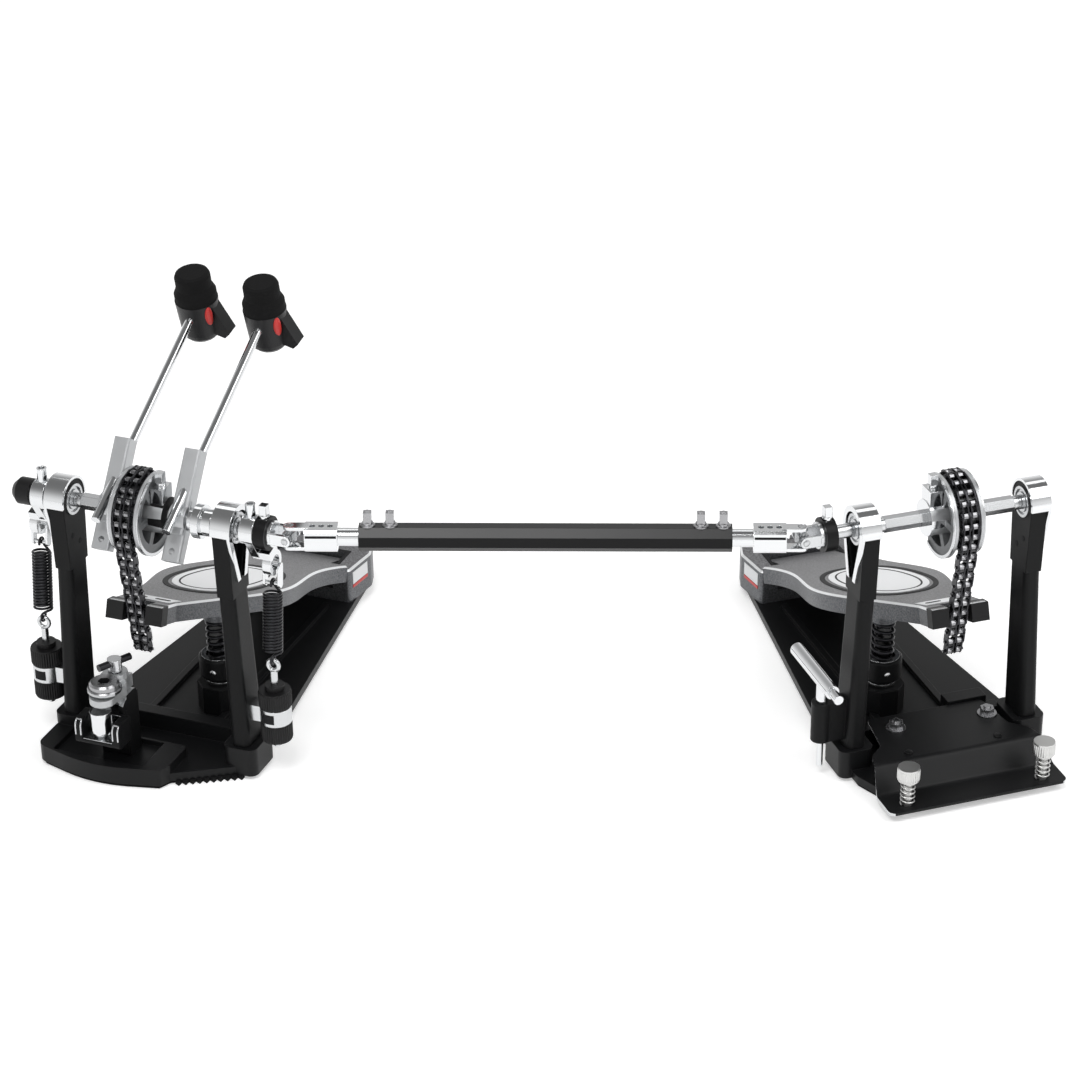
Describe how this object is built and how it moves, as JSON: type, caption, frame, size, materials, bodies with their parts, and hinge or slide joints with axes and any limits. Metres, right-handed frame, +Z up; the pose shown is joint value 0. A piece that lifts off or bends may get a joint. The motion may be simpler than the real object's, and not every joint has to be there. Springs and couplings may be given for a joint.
{
  "type": "double bass drum pedal",
  "caption": "Double bass drum pedal: chain-driven main pedal with paired beaters, joined by a telescopic rod with universal joints to a slave pedal.",
  "frame": {"origin": "on the floor under the middle of the main pedal's axle", "axes": "+X along the connecting rod towards the slave pedal, +Y from the toes towards the heels, +Z up"},
  "size_m": [0.7283, 0.3703, 0.3107],
  "materials": {
    "black_frame": "satin black coat",
    "chrome": "polished",
    "steel": "machined",
    "cast_grey": "cast, satin",
    "board": "textured dark grey with bright rim",
    "sole": "matte rubber",
    "beater": "dark barrel with felt face",
    "bearing": "ground",
    "tube": "semi-gloss black",
    "dark_steel": "blackened steel"
  },
  "bodies": {
    "main_frame": {"main_base_plate": "black_frame", "main_sole": "sole", "main_outer_post": "black_frame", "main_inner_post": "black_frame", "main_bearing_caps": "chrome", "main_bearings": "bearing", "main_heel_plate": "black_frame", "hoop_clamp_body": "chrome", "spring_tensioners": "chrome", "main_coil_cup": "black_frame", "main_board_coil": "dark_steel"},
    "main_axle": {"main_axle": "steel", "main_cam": "cast_grey", "main_chain_wrap": "dark_steel", "main_beater_hub": "steel", "main_rocker": "steel", "main_axle_cap": "dark_steel"},
    "main_beater": {"main_beater_shaft": "chrome", "main_beater_head": "beater"},
    "drive": {"drive_shaft": "steel", "slave_beater_hub": "steel", "drive_rocker": "steel", "drive_collar": "black_frame"},
    "slave_beater": {"slave_beater_shaft": "chrome", "slave_beater_head": "beater"},
    "rod": {"rod_main_yoke": "steel", "rod_tube": "tube", "rod_bolts": "chrome"},
    "rod_slave_end": {"rod_slave_yoke": "steel"},
    "slave_axle": {"slave_axle": "steel", "slave_cam": "cast_grey", "slave_chain_wrap": "dark_steel", "slave_collar": "black_frame"},
    "slave_frame": {"slave_base_plate": "black_frame", "slave_front_plate": "black_frame", "slave_sole": "sole", "slave_outer_post": "black_frame", "slave_inner_post": "black_frame", "slave_bearing_caps": "chrome", "slave_bearings": "bearing", "slave_heel_plate": "black_frame", "slave_coil_cup": "black_frame", "slave_board_coil": "dark_steel"},
    "spur_left": {"spur_bolt_left": "chrome"},
    "spur_right": {"spur_bolt_right": "chrome"},
    "hoop_jaw": {"hoop_jaw": "black_frame"},
    "hoop_wing_bolt": {"hoop_wing_bolt": "chrome"},
    "outer_knobs": {"outer_knobs": "dark_steel"},
    "inner_knobs": {"inner_knobs": "dark_steel"},
    "outer_spring": {"outer_spring": "dark_steel"},
    "outer_spring_hook": {"outer_spring_hook": "chrome"},
    "inner_spring": {"inner_spring": "dark_steel"},
    "inner_spring_hook": {"inner_spring_hook": "chrome"},
    "main_chain_run": {"main_chain_run": "dark_steel"},
    "main_footboard": {"main_footboard": "board"},
    "main_joint_cross": {"main_joint_cross": "steel"},
    "slave_joint_cross": {"slave_joint_cross": "steel"},
    "slave_chain_run": {"slave_chain_run": "dark_steel"},
    "slave_footboard": {"slave_footboard": "board"},
    "drum_key": {"drum_key": "chrome"}
  },
  "joints": [
    {"name": "main_axle_turn", "type": "hinge", "parent": "main_frame", "child": "main_axle", "pos_m": [0, 0, 0.19], "axis": [0.9426, -0.3338, 0], "range_deg": [0, 62], "stiffness_Nm_per_rad": 0.8, "springref_deg": -20.05},
    {"name": "main_footboard_press", "type": "hinge", "parent": "main_frame", "child": "main_footboard", "pos_m": [0.07945, 0.22435, 0.029], "axis": [0.9426, -0.3338, 0], "range_deg": [0, 6], "deforming": ["main_board_coil"]},
    {"name": "main_chain_swing", "type": "hinge", "parent": "main_axle", "child": "main_chain_run", "pos_m": [-0.01239, -0.026, 0.18546], "axis": [0.9426, -0.3338, 0], "range_deg": [-82, 0]},
    {"name": "outer_spring_swing", "type": "hinge", "parent": "main_frame", "child": "outer_spring", "pos_m": [-0.0839, 0.02971, 0.091], "axis": [0.9426, -0.3338, 0], "range_deg": [-12, 0]},
    {"name": "outer_spring_stretch", "type": "slide", "parent": "outer_spring", "child": "outer_spring_hook", "axis": [0.0391, 0.1104, 0.9931], "range_m": [0, 0.026], "deforming": ["outer_spring"]},
    {"name": "inner_spring_swing", "type": "hinge", "parent": "main_frame", "child": "inner_spring", "pos_m": [0.0839, -0.02971, 0.091], "axis": [0.9426, -0.3338, 0], "range_deg": [-12, 0]},
    {"name": "inner_spring_stretch", "type": "slide", "parent": "inner_spring", "child": "inner_spring_hook", "axis": [0.0391, 0.1104, 0.9931], "range_m": [0, 0.026], "deforming": ["inner_spring"]},
    {"name": "slave_axle_turn", "type": "hinge", "parent": "slave_frame", "child": "slave_axle", "pos_m": [0.5445, 0, 0.19], "axis": [0.9426, 0.3338, 0], "range_deg": [0, 62], "stiffness_Nm_per_rad": 0.8, "springref_deg": -20.05},
    {"name": "slave_footboard_press", "type": "hinge", "parent": "slave_frame", "child": "slave_footboard", "pos_m": [0.46505, 0.22435, 0.029], "axis": [0.9426, 0.3338, 0], "range_deg": [0, 6], "deforming": ["slave_board_coil"]},
    {"name": "slave_chain_swing", "type": "hinge", "parent": "slave_axle", "child": "slave_chain_run", "pos_m": [0.55689, -0.026, 0.18546], "axis": [0.9426, 0.3338, 0], "range_deg": [-82, 0]},
    {"name": "slave_cross_turn", "type": "hinge", "parent": "slave_axle", "child": "slave_joint_cross", "pos_m": [0.44364, -0.03572, 0.19], "axis": [-0.3338, 0.9426, 0], "range_deg": [-18.5, 0]},
    {"name": "rod_slave_end_turn", "type": "hinge", "parent": "slave_frame", "child": "rod_slave_end", "pos_m": [0.44364, -0.03572, 0.19], "axis": [1, 0, 0], "range_deg": [0, 62]},
    {"name": "rod_turn", "type": "hinge", "parent": "main_frame", "child": "rod", "pos_m": [0.10086, -0.03572, 0.19], "axis": [1, 0, 0], "range_deg": [0, 62]},
    {"name": "drive_turn", "type": "hinge", "parent": "main_frame", "child": "drive", "pos_m": [0, 0, 0.19], "axis": [0.9426, -0.3338, 0], "range_deg": [0, 62]},
    {"name": "main_cross_turn", "type": "hinge", "parent": "drive", "child": "main_joint_cross", "pos_m": [0.10086, -0.03572, 0.19], "axis": [0.3338, 0.9426, 0], "range_deg": [0, 18.5]},
    {"name": "slave_reach", "type": "slide", "parent": "main_frame", "child": "slave_frame", "axis": [1, 0, 0], "range_m": [-0.012, 0.06]},
    {"name": "hoop_bolt_turn", "type": "hinge", "parent": "main_frame", "child": "hoop_wing_bolt", "pos_m": [-0.02753, -0.01783, 0.082], "axis": [0, 0, 1], "range_deg": [0, 180]},
    {"name": "hoop_jaw_tilt", "type": "hinge", "parent": "main_frame", "child": "hoop_jaw", "pos_m": [-0.03037, -0.02584, 0.049], "axis": [-0.9426, 0.3338, 0], "range_deg": [0, 8]},
    {"name": "main_beater_height", "type": "slide", "parent": "main_axle", "child": "main_beater", "axis": [0.292, 0.8245, 0.4848], "range_m": [-0.012, 0.03]},
    {"name": "slave_beater_height", "type": "slide", "parent": "drive", "child": "slave_beater", "axis": [0.292, 0.8245, 0.4848], "range_m": [-0.012, 0.03]},
    {"name": "spur_left_lift", "type": "slide", "parent": "slave_frame", "child": "spur_left", "axis": [0, 0, 1], "range_m": [0, 0.006]},
    {"name": "spur_right_lift", "type": "slide", "parent": "slave_frame", "child": "spur_right", "axis": [0, 0, 1], "range_m": [0, 0.006]},
    {"name": "drum_key_lift", "type": "slide", "parent": "slave_frame", "child": "drum_key", "axis": [0, 0, 1], "range_m": [0, 0.06]},
    {"name": "outer_knobs_turn", "type": "hinge", "parent": "main_frame", "child": "outer_knobs", "pos_m": [-0.0839, 0.02971, 0.072], "axis": [0, 0, 1], "range_deg": [-180, 180]},
    {"name": "inner_knobs_turn", "type": "hinge", "parent": "main_frame", "child": "inner_knobs", "pos_m": [0.0839, -0.02971, 0.072], "axis": [0, 0, 1], "range_deg": [-180, 180]}
  ],
  "couplings": [
    {"joint": "main_footboard_press", "follows": "main_axle_turn", "ratio": 0.08937},
    {"joint": "main_chain_swing", "follows": "main_axle_turn", "ratio": -1.2949},
    {"joint": "outer_spring_swing", "follows": "main_axle_turn", "ratio": -0.17},
    {"joint": "outer_spring_stretch", "follows": "main_axle_turn", "m_per_rad": 0.022848},
    {"joint": "inner_spring_swing", "follows": "slave_axle_turn", "ratio": -0.17},
    {"joint": "inner_spring_stretch", "follows": "slave_axle_turn", "m_per_rad": 0.022848},
    {"joint": "slave_footboard_press", "follows": "slave_axle_turn", "ratio": 0.08937},
    {"joint": "slave_chain_swing", "follows": "slave_axle_turn", "ratio": -1.2949},
    {"joint": "slave_cross_turn", "follows": "slave_axle_turn", "ratio": -0.29},
    {"joint": "rod_slave_end_turn", "follows": "slave_axle_turn", "ratio": 1},
    {"joint": "rod_turn", "follows": "slave_axle_turn", "ratio": 1},
    {"joint": "drive_turn", "follows": "slave_axle_turn", "ratio": 1},
    {"joint": "main_cross_turn", "follows": "slave_axle_turn", "ratio": 0.29},
    {"joint": "hoop_jaw_tilt", "follows": "hoop_bolt_turn", "ratio": 0.044443}
  ]
}
